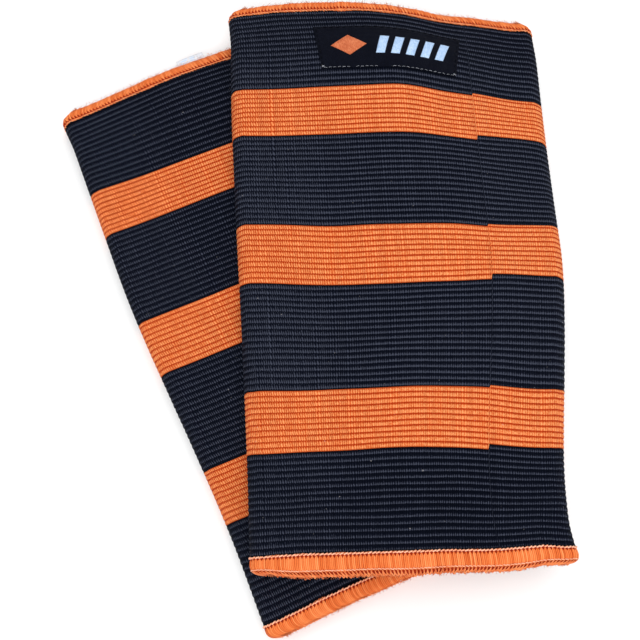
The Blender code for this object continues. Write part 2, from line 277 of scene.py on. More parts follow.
def pushed(sleeve, along, spread):
    """How far the knit is pushed towards the top at a place."""
    shift = 0.0 * along
    for place, reach, side, side_reach, amount in sleeve.pushes:
        shift = shift + amount * near(along, place, reach) * near(spread, side, side_reach)
    return shift


def tube_point(sleeve, along, turn, out, proud=0.0):
    """World points of a sleeve's surface, as an array that ends in x, y, z."""
    along, turn, out = np.broadcast_arrays(*map(np.float64, (along, turn, out)))
    across, height = section_point(sleeve, along, turn, out, proud)
    spread = across / half_width(sleeve, along, across)
    along = along + WANDER * waves(21 if sleeve is FRONT else 22, turn, along, 0.030)
    near_top = smooth((along - KNIT_LENGTH) / BOW_LENGTH + 1.0)
    along = along + pushed(sleeve, along, spread)
    along = along + sleeve.top_bow * np.maximum(1.0 - spread * spread, 0.0) * near_top
    if sleeve is FRONT:
        cycle = np.clip(along / EASE_LENGTH, 0.0, 1.0)
        along = along - EASE_SHIFT * smooth(spread) * np.sin(math.tau * cycle)
    lean = lean_at(sleeve, along)
    x, y = centre_at(sleeve, along)
    x = x + across * np.cos(lean)
    y = y + across * np.sin(lean)
    if sleeve is FRONT:
        height = height + drape(x, y)
    return np.stack([x, y, height], axis=-1)


def top_point(sleeve, across, along, out):
    """World points on or above the upper face."""
    left, right = flat_edges(sleeve, along)
    return tube_point(sleeve, along, (across - left) / (right - left), out)


def girth_lengths(sleeve, along):
    """Arc length round the section at the start of each side, and the whole girth."""
    left, right = flat_edges(sleeve, along)
    flat = right - left
    fold = np.pi * fold_radius(sleeve, along)
    return [0.0 * flat, flat, flat + fold, 2.0 * flat + fold, 2.0 * (flat + fold)]


def girth_share(sleeve, along, turn):
    """Share of the girth passed at a turn, from 0 to 1."""
    marks = girth_lengths(sleeve, along)
    passed = [(marks[side + 1] - marks[side]) * np.clip(turn - side, 0.0, 1.0)
              for side in range(4)]
    return sum(passed) / marks[4]


def girth_marks(sleeve, along):
    """The same lengths at one place along the sleeve, as plain numbers."""
    return [float(mark) for mark in girth_lengths(sleeve, np.float64(along))]


# ---- mesh helpers

def link_mesh(name, points, faces, uv, material):
    """A smooth-shaded object; uv holds named layers with one pair for each face corner."""
    mesh = bpy.data.meshes.new(name)
    mesh.from_pydata(points, [], faces)
    for layer_name, values in uv.items():
        layer = mesh.uv_layers.new(name=layer_name)
        layer.data.foreach_set("uv", values.astype(np.float32).ravel())
    mesh.shade_smooth()
    mesh.validate()
    mesh.materials.append(material)
    piece = bpy.data.objects.new(name, mesh)
    put_in_scene(piece)
    return piece


def put_in_scene(thing):
    bpy.context.scene.collection.objects.link(thing)


def unit(vectors):
    return vectors / np.linalg.norm(vectors, axis=-1, keepdims=True)


def is_inside_out(points, quads):
    """Whether a closed mesh's faces point in, by its signed volume."""
    a, b, c, d = np.moveaxis(points[quads], 1, 0)
    return np.sum(a * (np.cross(b, c) + np.cross(c, d))) < 0.0


def closed(grid):
    """A grid with its first column again after its last."""
    return np.append(grid, grid[:, :1], axis=1)


def corners_round(grid, after):
    """The four corners of each cell between a grid, the columns after it and the next rows."""
    return np.stack([grid, after, np.roll(after, -1, 0), np.roll(grid, -1, 0)], axis=2)


def closed_ring(name, loops, layers, material):
    """A wall swept round the tube from closed loops; its UV layers have one column more."""
    points = loops.reshape(-1, 3)
    index = np.arange(len(points)).reshape(loops.shape[:2])
    quads = corners_round(index, np.roll(index, -1, 1)).reshape(-1, 4)
    uv = {layer: corners_round(values[:, :-1], values[:, 1:]).reshape(-1, 4, 2)
          for layer, values in layers.items()}
    if is_inside_out(points, quads):
        quads = quads[:, ::-1]
        uv = {layer: values[:, ::-1] for layer, values in uv.items()}
    return link_mesh(name, points, quads, uv, material)


def closed_plate(name, top, bottom, place, material):
    """A thin woven solid between two grids of points; place holds a UV pair for each point."""
    index = np.arange(top.size // 3).reshape(top.shape[:2])
    quads = corners_round(index[:, :-1], index[:, 1:])[:-1].reshape(-1, 4)
    below = quads[:, ::-1] + index.size
    rim = np.concatenate([index[0, :-1], index[:-1, -1], index[-1, :0:-1], index[:0:-1, 0]])
    after = np.roll(rim, -1)
    sides = np.stack([after, rim, rim + index.size, after + index.size], axis=1)
    faces = np.concatenate([quads, below, sides])
    points = np.concatenate([top.reshape(-1, 3), bottom.reshape(-1, 3)])
    if is_inside_out(points, faces):
        faces = faces[:, ::-1]
    pairs = np.concatenate([place.reshape(-1, 2)] * 2)
    return link_mesh(name, points, faces, {"weave": pairs[faces]}, material)


def thread_tubes(name, paths, outward, radius, material, sides=6):
    """Short lengths of thread: paths is (count, points, 3), outward gives their upper side."""
    count, steps = paths.shape[:2]
    heading = unit(np.gradient(paths, axis=1))
    sideways = unit(np.cross(heading, outward))
    upward = np.cross(sideways, heading)
    angle = math.tau * np.arange(sides) / sides
    thickness = np.full(steps, radius)
    thickness[[0, -1]] *= THREAD_TAPER
    offset = (np.cos(angle)[:, None] * sideways[:, :, None]
              + np.sin(angle)[:, None] * upward[:, :, None])
    points = paths[:, :, None] + offset * thickness[:, None, None]
    index = np.arange(count * steps * sides).reshape(count, steps, sides)
    following = np.roll(index, -1, axis=2)
    quads = np.stack([index[:, :-1], following[:, :-1], following[:, 1:], index[:, 1:]], axis=-1)
    faces = quads.reshape(-1, 4).tolist()
    faces += index[:, 0, ::-1].tolist() + index[:, -1].tolist()
    between = np.diff(paths, axis=1, prepend=paths[:, :1])
    length = np.cumsum(np.linalg.norm(between, axis=-1), axis=1)
    number = np.arange(count)[:, None, None] + 0.0 * index
    run = length[:, :, None] / (2.0 * radius) + 0.0 * index
    pairs = np.stack([number + 0.5 * np.arange(sides) / sides, run], axis=-1).reshape(-1, 2)
    corner = np.concatenate([np.ravel(face) for face in faces])
    uv = {"thread": pairs[corner]}
    return link_mesh(name, points.reshape(-1, 3), faces, uv, material)


def waves(seed, turn, along, scale, count=6):
    """Smooth seeded noise from -1 to 1 over a tube, periodic round its girth."""
    chance = np.random.default_rng(seed)
    total = np.zeros(np.broadcast(turn, along).shape)
    for _ in range(count):
        rounds = chance.integers(1, max(2, int(4 * FLAT_WIDTH / scale)))
        climb = chance.normal(0.0, 1.0) / scale
        total += np.sin(math.tau * (rounds * turn / 4.0 + climb * along + chance.random()))
    return total / math.sqrt(count)


# ---- materials

class Value:
    """A node's output that takes part in sums with numbers and other outputs."""

    def __init__(self, paint, socket):
        self.paint = paint
        self.socket = socket

    def with_other(self, operation, other):
        return self.paint.math(operation, self, other)

    __add__ = partialmethod(with_other, "ADD")
    __mul__ = partialmethod(with_other, "MULTIPLY")
    __sub__ = partialmethod(with_other, "SUBTRACT")
    __truediv__ = partialmethod(with_other, "DIVIDE")

    def __rsub__(self, other):
        return self.paint.math("SUBTRACT", other, self)

    def __abs__(self):
        return self.paint.math("ABSOLUTE", self)


class Paint:
    """A Principled material with short ways to build its node graph."""

    def __init__(self, name, roughness, specular=0.3, sheen=0.0, sheen_tint=(1.0, 1.0, 1.0)):
        self.material = bpy.data.materials.new(name)
        self.material.use_nodes = True
        self.tree = self.material.node_tree
        self.inputs = self.tree.nodes["Principled BSDF"].inputs
        for socket, value in (("Roughness", roughness), ("Specular IOR Level", specular),
                              ("Sheen Weight", sheen), ("Sheen Roughness", 0.5),
                              ("Sheen Tint", sheen_tint)):
            self.put(self.inputs[socket], value)

    def put(self, socket, value):
        """Set a socket to a number, a colour or another node's output."""
        if isinstance(value, Value):
            self.tree.links.new(value.socket, socket)
        elif isinstance(value, tuple):
            socket.default_value = (*value, 1.0)
        else:
            socket.default_value = value

    def add(self, kind, output, inputs, **settings):
        """One output of a new node with these settings and inputs."""
        node = self.tree.nodes.new("ShaderNode" + kind)
        for setting, value in settings.items():
            setattr(node, setting, value)
        for socket, value in inputs.items():
            self.put(node.inputs[socket], value)
        return Value(self, node.outputs[output])

    def math(self, operation, *values):
        return self.add("Math", 0, dict(enumerate(values)), operation=operation)

    def over(self, value, limit):
        return self.math("GREATER_THAN", value, limit)

    def most(self, first, second):
        return self.math("MAXIMUM", first, second)

    def from_middle(self, value):
        """0 in the middle of each whole step of a value, 1 where two steps meet."""
        return abs(self.math("FRACT", value) * 2.0 - 1.0)

    def ease(self, value, low, high):
        """Smooth step of a value between two limits."""
        return self.add("MapRange", "Result", {"Value": value, "From Min": low, "From Max": high},
                        interpolation_type="SMOOTHSTEP")

    def mix(self, share, first, second):
        return self.add("Mix", 2, {0: share, 6: first, 7: second}, data_type="RGBA")

    def ramp(self, value, places, colours):
        result = self.add("ValToRGB", "Color", {"Fac": value})
        elements = result.socket.node.color_ramp.elements
        while len(elements) < len(places):
            elements.new(0.5)
        for element, place, colour in zip(elements, places, colours):
            element.position = place
            element.color = (*colour, 1.0)
        return result

    def uv(self, layer):
        """The two coordinates of a UV layer."""
        first = self.add("SeparateXYZ", 0, {0: self.add("UVMap", 0, {}, uv_map=layer)})
        return first, Value(self, first.socket.node.outputs[1])

    def join(self, *values):
        return self.add("CombineXYZ", 0, dict(enumerate(values)))

    def chance(self, *values):
        """A random number from 0 to 1 for each whole set of values."""
        cell = self.join(*[self.math("FLOOR", value) for value in values])
        return self.add("TexWhiteNoise", "Value", {"Vector": cell}, noise_dimensions="3D")

    def noise(self, vector, scale, detail=2.0):
        return self.add("TexNoise", "Fac", {"Vector": vector, "Scale": scale, "Detail": detail})

    def bump(self, height, distance):
        normal = self.add("Bump", "Normal", {"Height": height, "Distance": distance})
        self.put(self.inputs["Normal"], normal)

    def finish(self, colour, roughness=None):
        self.put(self.inputs["Base Color"], colour)
        if roughness is not None:
            self.put(self.inputs["Roughness"], roughness)
        return self.material


def knit_material(name, stops, edge_shadow_colour, level, groove_shade, groove_reach, gap_shade, dim,
                  sheen):
    """Ribbed knit: stitches across each rib, painted shade in the grooves and between the
    stitches, a painted highlight on each crest, mottling and stray lint.

    stops are the dark, middle and light yarn colours, edge_shadow_colour the painted shadow at a
    band's edges, and level the lightness of the painted highlight on a crest. groove_reach is
    where the crest ends and the painted groove shade is darkest, as shares of the way between
    them. dim is how much painted shade darkens the knit near a sleeve's ends and on the rear
    sleeve.
    """
    paint = Paint(name, 0.85, 0.05, sheen, (1.0, 0.7, 0.5))
    wale, rib = paint.uv("knit")
    slant, edge = paint.uv("lie")
    in_rib = paint.math("FRACT", rib)
    drift = paint.noise(paint.join(wale * 0.22, rib * 0.02), 1.0, 1.0)
    wale = wale + slant * (in_rib - 0.5) + drift * 1.8
    below_crest = (CREST_PLACE - in_rib) / CREST_PLACE
    above_crest = (in_rib - CREST_PLACE) / (1.0 - CREST_PLACE)
    from_crest = paint.most(below_crest, above_crest)
    stitch_chance = paint.chance(wale, rib, 3.0)
    wale_chance = paint.chance(wale, 7.0, 5.0)
    yarn = paint.join(wale * 0.8, rib * 2.4)
    mottle = paint.noise(yarn, 0.05, 3.0)
    fibre = paint.noise(paint.join(wale * 3.0, rib), 2.2, 2.0)
    grain = paint.noise(paint.join(wale, rib * 2.2), 1.6, 1.0)
    # groove is 0 on a crest, which gets a painted highlight, and 1 in a groove, which gets painted
    # shade
    groove = paint.ease(from_crest + (stitch_chance - 0.5) * 0.16, *groove_reach)
    depth = paint.ease(mottle, 0.35, 0.62) * 0.20 + 0.80
    # painted shade between the stitches of a rib
    gap = paint.ease(paint.from_middle(wale), 0.22, 0.78) * depth
    # painted shade that darkens the knit near the foot, near the top and on the rear sleeve
    near_foot = 1.0 - paint.ease(rib, 6.0, 26.0)
    near_top = paint.ease(rib, 84.0, 92.0) * 0.8
    on_rear = paint.ease(rib, REAR_RIBS - 50.0, REAR_RIBS - 49.0)
    painted_end_shade = paint.most(paint.most(near_foot, near_top), on_rear)
    on_fold = slant / FOLD_SLANT
    # painted shade in the grooves and between the stitches, lighter on the folds
    light = groove * (on_fold * 0.30 - groove_shade) - gap * (on_fold * 0.25 + gap_shade)
    light = light - painted_end_shade * dim + (stitch_chance - 0.5) * 0.24 + (grain - 0.5) * 0.95
    light = light + (wale_chance - 0.5) * 0.06 + (mottle - 0.5) * 0.20 + (fibre - 0.5) * 0.34
    colour = paint.ramp(light + level, (0.05, 0.52, 0.98), stops)
    # painted shadow along a band's edges, where it meets the next band or goes under the hem
    edge_shadow = 1.0 - paint.ease(edge, 0.03, 0.26)
    colour = paint.mix(edge_shadow * 0.8, colour, edge_shadow_colour)
    lint = paint.over(paint.noise(yarn, 0.9, 0.0), 0.875)
    colour = paint.mix(lint * 0.22, colour, (0.75, 0.72, 0.70))
    paint.bump(stitch_chance * 0.4 + fibre * 0.8 - gap * 1.2, 0.00020)
    return paint.finish(colour, fibre * 0.22 + 0.74)


def hem_material(name, stops, hole_start, hole_length):
    """Satin wrap of overlock thread, with painted shade between its strands and stitches
    and in the holes beside its needle loops and edge chain.
    """
    paint = Paint(name, 0.70, 0.10)
    place, past = paint.uv("thread")
    rim, edge_place = paint.uv("rim")
    strand = place / STRAND_PITCH
    stitch = place / STITCH_PITCH
    in_strand = paint.from_middle(strand)
    in_stitch = paint.from_middle(stitch)
    strand_chance = paint.chance(strand, 4.0, 1.0)
    stitch_chance = paint.chance(stitch, 6.0, 2.0)
    mottle = paint.noise(paint.join(place * 900.0, past * 300.0), 0.8, 3.0)
    triangle = paint.ease(in_stitch - (past - hole_start) / hole_length, 0.0, 0.25)
    hole = triangle * paint.over(past, hole_start)
    near_rim = 1.0 - paint.ease(abs(rim - RIM_HOLES), 0.0004, 0.0008)
    dot = near_rim * paint.ease(1.0 - paint.from_middle(edge_place), 0.25, 0.50)
    seam = paint.ease(in_stitch, 0.72, 1.0) * paint.ease(stitch_chance, 0.2, 0.9)
    # painted shade between strands, along seams, in the needles' holes and in the edge chain's
    # dots
    light = 0.66 - paint.ease(in_strand, 0.35, 1.0) * 0.38 - seam * 0.40 - hole * 0.80 - dot * 0.95
    light = light + (strand_chance - 0.5) * 0.34 + (mottle - 0.5) * 0.30
    twist = paint.noise(paint.join(strand * 2.0, past * 4000.0), 1.0)
    paint.bump(twist - in_strand * 0.7 - hole * 1.5 - dot * 1.5, 0.00012)
    return paint.finish(paint.ramp(light, (0.02, 0.5, 0.98), stops), twist * 0.25 + 0.5)


def thread_material(name, stops, roughness=0.6, specular=0.3, sheen=0.15):
    """Plied sewing thread, with the twist of its plies as painted light and shade."""
    paint = Paint(name, roughness, specular, sheen, (1.0, 0.85, 0.75))
    number, run = paint.uv("thread")
    ply = paint.math("SINE", (run + number * 2.0) * math.tau)
    light = ply * 0.14 + (paint.chance(number, 1.0, 8.0) - 0.5) * 0.35 + 0.55
    paint.bump(ply, 0.00004)
    return paint.finish(paint.ramp(light, (0.0, 0.5, 1.0), stops))


def satin_material(name, stops, threads_per_metre, gloss, lean=0.35):
    """Woven satin or embroidery: fine parallel threads with a long float."""
    paint = Paint(name, gloss, 0.06)
    across, along = paint.uv("weave")
    place = (across + along * lean) * threads_per_metre
    line = paint.from_middle(place)
    cell = paint.chance(place, along * (threads_per_metre * 0.55), 1.0)
    mottle = paint.noise(paint.join(across, along), 160.0, 3.0)
    # painted shade where the threads meet
    light = (cell - 0.5) * 0.28 - paint.ease(line, 0.4, 1.0) * 0.30 + (mottle - 0.5) * 0.45 + 0.55
    paint.bump(cell * 0.5 - line, 0.00005)
    return paint.finish(paint.ramp(light, (0.0, 0.5, 1.0), stops), cell * 0.2 + gloss)


def tape_material(name):
    """Care label: white ribbed tape with rows of plain pale blue and grey dashes."""
    paint = Paint(name, 0.55)
    across, along = paint.uv("weave")
    cell = paint.chance(across * 4000.0, along * 4000.0, 1.0)
    row = along * 900.0
    in_row = paint.ease(abs(paint.math("FRACT", row) - 0.5), 0.30, 0.16)
    dash = paint.over(paint.chance(across * 1500.0, row, 4.0), 0.42)
    inside = paint.math("LESS_THAN", abs(across), CARE_WIDTH / 2 - 0.0015)
    on_right = paint.over(across, 0.002)
    ink = paint.mix(on_right, (0.42, 0.63, 0.92), (0.45, 0.46, 0.50))
    ground = paint.ramp(cell, (0.0, 1.0), ((0.66, 0.68, 0.73), (0.82, 0.84, 0.88)))
    paint.bump(cell, 0.00003)
    return paint.finish(paint.mix(in_row * dash * inside * 0.7, ground, ink))


# each yarn's dark stop is the colour of its painted groove shade, its light stop that of its
# painted crest highlight
ORANGE_YARN = ((0.44, 0.036, 0.004), (0.74, 0.153, 0.036), (0.98, 0.370, 0.138))
BLACK_YARN = ((0.0010, 0.0020, 0.0062), (0.0052, 0.0068, 0.0155), (0.0500, 0.0570, 0.0830))
ORANGE_THREAD = ((0.30, 0.016, 0.001), (0.80, 0.170, 0.036), (1.00, 0.400, 0.150))
# the two loop threads below are the orange thread made paler, a painted highlight on the loops
LOOP_THREAD = ((0.40, 0.050, 0.010), (0.95, 0.260, 0.080), (1.00, 0.480, 0.260))
NEEDLE_LOOP_HIGHLIGHT_THREAD = ((0.75, 0.200, 0.080), (1.00, 0.420, 0.240), (1.00, 0.640, 0.460))
LABEL_SATIN = ((0.0006, 0.0008, 0.0024), (0.0022, 0.0030, 0.0080), (0.0080, 0.0105, 0.0190))
LABEL_THREAD = ((0.0006, 0.0008, 0.0018), (0.0018, 0.0024, 0.0052), (0.0052, 0.0066, 0.0120))
WORN_THREAD = ((0.10, 0.11, 0.13), (0.25, 0.27, 0.31), (0.60, 0.63, 0.70))
EMBLEM_THREAD = ((0.28, 0.045, 0.015), (0.62, 0.160, 0.065), (0.85, 0.33, 0.16))
BAR_THREAD = ((0.22, 0.34, 0.55), (0.45, 0.63, 0.90), (0.80, 0.90, 1.00))


# ---- knit

def band_edges():
    """Each band's name with its lower and upper edge."""
    return [(name, float(low), float(high))
            for (name, _, _), low, high in zip(BANDS, EDGE_PLACES, EDGE_PLACES[1:])]


def skin_turns(sleeve):
    """Columns of a sleeve's skin, with two close together where a round starts."""
    counts = (FLAT_COLUMNS, FOLD_COLUMNS, FLAT_COLUMNS, FOLD_COLUMNS)
    turns = [side + step / count for side, count in enumerate(counts) for step in range(count)]
    turns = [turn for turn in turns if abs(turn - sleeve.jog_turn) > 0.5 / FLAT_COLUMNS]
    turns += [sleeve.jog_turn - JOG_WIDTH / 2, sleeve.jog_turn + JOG_WIDTH / 2]
    return np.array(sorted(turns))


def jog(sleeve, turn):
    """How far the ribs have climbed: 1 just right of the round's start, 0 after a whole round."""
    return 1.0 - (turn - sleeve.jog_turn) % 4.0 / 4.0


def ripple(sleeve, along, turn):
    """How deep the grooves are, as a share: deeper where the knit is pushed together."""
    seed = 11 if sleeve is FRONT else 12
    on_fold = smooth(np.abs(turn % 2.0 - 0.5) / 0.55)
    share = (1.0 + 0.18 * waves(seed, turn, along, 0.05)) * (1.0 - FOLD_CALM * on_fold)
    if sleeve is FRONT:
        share += 0.9 * near(along, 0.018, 0.030) * near(turn, 0.62, 0.45)
    return share


def rib_number(sleeve, along, turn):
    """Ribs counted from the foot; the grooves are at whole numbers, and climb one a round."""
    return np.interp(along, EDGE_PLACES, EDGE_RIBS) - jog(sleeve, turn)


def rib_out(sleeve, along, turn):
    """Height of the ribbed outer face over the plain tube."""
    in_rib = rib_number(sleeve, along, turn) % 1.0
    ridge = smooth(np.minimum(in_rib / CREST_PLACE, (1.0 - in_rib) / CREST_FALL))
    depth = (RIB_CREST + RIB_DEPTH) * ripple(sleeve, along, turn)
    return RIB_CREST - depth * (1.0 - ridge)


def colour_edge(sleeve, number, turn):
    """Where a colour starts at each turn; number counts the edges from the foot."""
    if number in (0, len(BANDS)):
        return EDGE_PLACES[number] + 0.0 * turn
    name, ribs, length = BANDS[number]
    climb = ORANGE_STARTS if name.startswith("orange") else BLACK_STARTS
    return EDGE_PLACES[number] + climb * length / ribs * jog(sleeve, turn)


def knit_band(prefix, sleeve, number, material):
    """One colour band: a ribbed outer wall and a plainer inner wall, closed at both edges."""
    name, ribs, _ = BANDS[number]
    turn = skin_turns(sleeve)
    start = colour_edge(sleeve, number, turn)
    end = colour_edge(sleeve, number + 1, turn)
    rows = [np.linspace(0.0, 1.0, ribs * ROWS_PER_RIB + 1),
            np.linspace(1.0, 0.0, ribs * INNER_ROWS_PER_RIB + 1)]
    outer_along, inner_along = [start + (end - start) * row[:, None] for row in rows]
    outer = tube_point(sleeve, outer_along, turn, rib_out(sleeve, outer_along, turn), RIB_CREST)
    inner = tube_point(sleeve, inner_along, turn, -WALL, RIB_CREST)
    along = np.concatenate([outer_along, inner_along])
    wale = WALES * np.append(girth_share(sleeve, along, turn), np.ones((len(along), 1)), axis=1)
    rib = closed(rib_number(sleeve, along, turn) + REAR_RIBS * (sleeve is REAR))
    # edge counts ribs from the band's nearer edge, for the painted shadow there; beside a hem it
    # counts from where the wrap stops lapping over the knit
    from_start = along - start - HEM_LAP * (number == 0)
    to_end = end - along - HEM_LAP * (number == len(BANDS) - 1)
    edge = closed(np.minimum(from_start, to_end) / RIB_PITCH)
    slant = FOLD_SLANT * near((np.append(turn, turn[0]) + 0.45) % 4.0, 0.45, 0.55) + 0.0 * edge
    piece = closed_ring(f"{prefix}_{name}_knit", np.concatenate([outer, inner]),
                        {"knit": np.stack([wale, rib], axis=-1),
                         "lie": np.stack([slant, edge], axis=-1)}, material)
    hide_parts(f"{prefix}_{name}")
    return piece


# ---- hems

class Hem(NamedTuple):
    """A hem: the knit's edge it closes, which way it lies from there, and its length."""
    name: str
    sleeve: Sleeve
    edge: float
    way: float
    length: float
    seed: int


def hem_place(hem, angle, lift):
    """Distance past the knit's edge and out from the face, on the hem's rounded section.

    angle is 0 at the knit's side, pi / 2 on top of the hem, pi at its outer edge.
    """
    half_length = (hem.length + HEM_LAP) / 2
    half_thick = WALL / 2 + HEM_PROUD
    across = np.sign(np.cos(angle)) * np.abs(np.cos(angle)) ** 0.75
    up = np.sign(np.sin(angle)) * np.abs(np.sin(angle)) ** 0.62
    past = half_length - HEM_LAP - (half_length + lift) * across
    return past, (half_thick + lift) * up - WALL / 2


def on_hem(hem, turn, past, out):
    proud = HEM_PROUD + 2.0 * THREAD_RADIUS
    return tube_point(hem.sleeve, hem.edge + hem.way * past, turn, out, proud)


def hem_wrap(hem, material):
    """Satin wrap of thread round the raw edge, with ridges across it."""
    marks = girth_marks(hem.sleeve, hem.edge)
    girth = marks[4]
    columns = 4 * round(girth / STRAND_PITCH)
    turn = np.interp(np.arange(columns) * girth / columns, marks, np.arange(5.0))
    angle = np.linspace(0.0, math.tau, 24, endpoint=False)[:, None]
    run = np.linspace(0.0, girth, columns, endpoint=False)
    slant = 0.0005 * np.sin(angle) + 0.0009 * (hem.way > 0) * (1.0 - np.cos(angle))
    place = run + slant
    in_strand = np.abs(place / STRAND_PITCH % 1.0 - 0.5) * 2.0
    in_stitch = np.abs(place / STITCH_PITCH % 1.0 - 0.5) * 2.0
    chance = np.random.default_rng(hem.seed).random(4096)
    bundle = chance[(place // STITCH_PITCH).astype(int) % len(chance)] - 0.5
    strand = chance[(place // STRAND_PITCH).astype(int) % len(chance)] - 0.5
    lift = -0.00010 * in_strand ** 2 - 0.00010 * smooth(in_stitch * 3.0 - 2.0)
    lift = lift + 0.00022 * bundle + 0.00010 * strand
    from_knit = np.where(angle > math.pi, math.tau - angle, angle)
    lift = lift + 0.00045 * smooth(1.0 - from_knit / 0.5) * (0.4 - in_stitch ** 2)
    swell = 0.00016 * waves(hem.seed, turn, 0.0 * turn, 0.009)
    past, out = hem_place(hem, angle, lift + swell)
    closed_run = np.append(run, girth) / girth
    closed_past = closed(past)
    hidden = NO_HOLES * (angle > math.pi)
    stitch_place = closed_run * round(girth / STITCH_PITCH) * STITCH_PITCH + slant
    rim = hem.length - closed_past + hidden + NO_HOLES * (hem.name != "front_lower")
    edge_place = closed_run * round(girth / EDGE_PITCH) + 0.0 * hidden
    piece = closed_ring(f"{hem.name}_hem_wrap", on_hem(hem, turn, past, out),
                        {"thread": np.stack([stitch_place, closed_past + hidden], axis=-1),
                         "rim": np.stack([rim, edge_place], axis=-1)}, material)
    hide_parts(f"{hem.name}_hem")
    return piece


def orange_threads(name, paths, outward, radius, material, sides=6):
    piece = thread_tubes(name, paths, outward, radius, material, sides)
    return piece


def loop_chain(name, hem, seed, pitch, radius, course, material):
    """A row of thread loops round a hem; course gives (past, out) from 0 to 1 of a loop."""
    marks = girth_marks(hem.sleeve, hem.edge)
    girth = marks[4]
    count = round(girth / pitch)
    step = np.linspace(0.0, 1.0, 9)
    chance = np.random.default_rng(seed)
    start = (np.arange(count)[:, None] + chance.normal(0.0, 0.06, (count, 1))) * girth / count
    size = 1.0 + chance.normal(0.0, 0.14, (count, 1))
    run = start + pitch * 1.12 * step
    turn = np.interp(run % girth, marks, np.arange(5.0)) % 4.0
    past, out = course(step, size)
    out = out + 0.0001 * chance.random((count, 1))
    paths = on_hem(hem, turn, past, out)
    outward = unit(on_hem(hem, turn, past, out + 0.001) - paths)
    return orange_threads(name, paths, outward, radius, material)


def row_course(start, advance, low, rise):
    """Loops that lie over each other along a row, like the turns of a rope."""
    def course(step, size):
        return start + advance * size * step, low + rise * np.sin(math.pi * step)
    return course


def chain_course(hem, inset):
    """Loops of the edge chain; inset is how far in their feet are from the outer edge."""
    def course(step, size):
        arch = np.sin(math.pi * step) ** 0.7
        past = hem.length - inset + (inset + 0.0002) * arch * size
        return past, (0.0007 if inset > 0.001 else -0.0003) - 0.0006 * arch
    return course


def fuzz(hem, material):
    """Short stray fibres that stand out of the hem's outer edge."""
    chance = np.random.default_rng(hem.seed + 3)
    one_each = (FUZZ_COUNT, 1)
    turn = (chance.random(one_each) * 1.3 - 0.15) % 4.0
    step = np.linspace(0.0, 1.0, 5)
    reach = chance.uniform(0.0004, 0.0017, one_each)
    drift = chance.normal(0.0, 0.004, one_each)
    bend = chance.normal(0.0, 0.005, one_each)
    places = (turn + drift * step + bend * step ** 2) % 4.0
    past = hem.length - 0.0004 + reach * step
    out = chance.uniform(-0.0016, 0.0004, one_each) + 0.0003 * step
    paths = on_hem(hem, places, past, out)
    return orange_threads(f"{hem.name}_hem_fuzz", paths, UP, FUZZ_RADIUS, material, sides=4)


def hem_pieces(prefix, sleeve, end, materials):
    """A hem's wrap, its needle loops beside the knit, its edge chain and its fuzz."""
    name, seed = f"{prefix}_{end}", sum(map(ord, prefix + end))
    if end == "lower":
        hem = Hem(name, sleeve, 0.0, -1.0, sleeve.hems[0], seed)
        radius, course = ROPE_RADIUS, row_course(0.0003, -0.0006, 0.0002, 0.0005)
    else:
        hem = Hem(name, sleeve, KNIT_LENGTH, 1.0, sleeve.hems[1], seed)
        radius, course = FLAT_RADIUS, row_course(0.0001, -0.0006, 0.0001, 0.0004)
    pieces = [hem_wrap(hem, materials[f"{end}_hem"]),
              loop_chain(f"{name}_needle_loops", hem, seed + 1, STITCH_PITCH, radius, course,
                         materials[f"{end}_loops"])]
    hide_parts(f"{name}_needle_row")
    course = chain_course(hem, 0.0017 if name == "front_lower" else 0.0003)
    pieces.append(loop_chain(f"{name}_edge_chain", hem, seed + 2, EDGE_PITCH, FLAT_RADIUS,
                             course, materials["edge"]))
    pieces.append(fuzz(hem, materials["edge"]))
    if name == "front_lower":
        course = row_course(hem.length - 0.0022, 0.0004, 0.0004, 0.0003)
        pieces.append(loop_chain(f"{name}_rim_loops", hem, seed + 4, EDGE_PITCH, RIM_RADIUS,
                                 course, materials["lower_loops"]))
    return pieces


# ---- labels

LABEL_BASE = 0.00005  # the label's back over the tube's face, and its thickness
LABEL_THICK = 0.00065
SIDE_STITCH = (0.0018, 0.0008)  # a stitch and the gap after it
FOOT_STITCH = (0.0016, 0.0005)
FOOT_INSET = 0.0004
WORN_AWAY = 0.25  # share of the foot's stitches that are gone
EMBLEM_MIDDLE = -0.0180
EMBLEM_HALF = (0.0080, 0.0052)
BAR_START = -0.0030  # middle of the first bar
BAR_PITCH = 0.0068
BAR_HALF = (0.0020, 0.00475)
PATCH_SUNK = 0.0001  # how far embroidery starts under the label's face
BAR_LEAN = 0.0012  # how far a bar's ends lean from its middle


def on_label(across, along, out):
    """World points out from the sleeve at a place on the label, which widens upwards."""
    across = across * (1.0 + LABEL_STRETCH * along / LABEL_SIZE[1])
    cosine, sine = math.cos(LABEL_TILT), math.sin(LABEL_TILT)
    return top_point(FRONT, LABEL_PLACE[0] + across * cosine - along * sine,
                     LABEL_PLACE[1] + across * sine + along * cosine, LABEL_BASE + out)


def label_swell(across, along):
    """Height of the label's face: rolled edges, a stitched valley and soft puckers."""
    half_u, half_v = np.array(LABEL_SIZE) / 2
    room = np.minimum(half_u - np.abs(across), half_v - np.abs(along))
    roll = np.sqrt(np.clip(room / 0.0007, 0.0, 1.0))
    valley = np.exp(-((room - STITCH_INSET) / 0.0005) ** 2)
    uneven = 2.0 * np.sin(across * 310.0)
    pucker = np.sin(across * math.tau / 0.0036 + uneven) * np.exp(-room / 0.006)
    ribs = np.cos((along + 0.0005) * math.tau / RIB_PITCH)
    face = LABEL_THICK * (0.25 + 0.75 * roll) - 0.00022 * valley
    return face + 0.00012 * pucker + 0.00003 * ribs


def label_plate(name, across, along, low, high, material):
    """A thin piece on the label between two heights, from a grid of places."""
    top = on_label(across, along, high)
    bottom = on_label(across, along, low)
    piece = closed_plate(name, top, bottom, np.stack([across, along], axis=-1), material)
    return piece


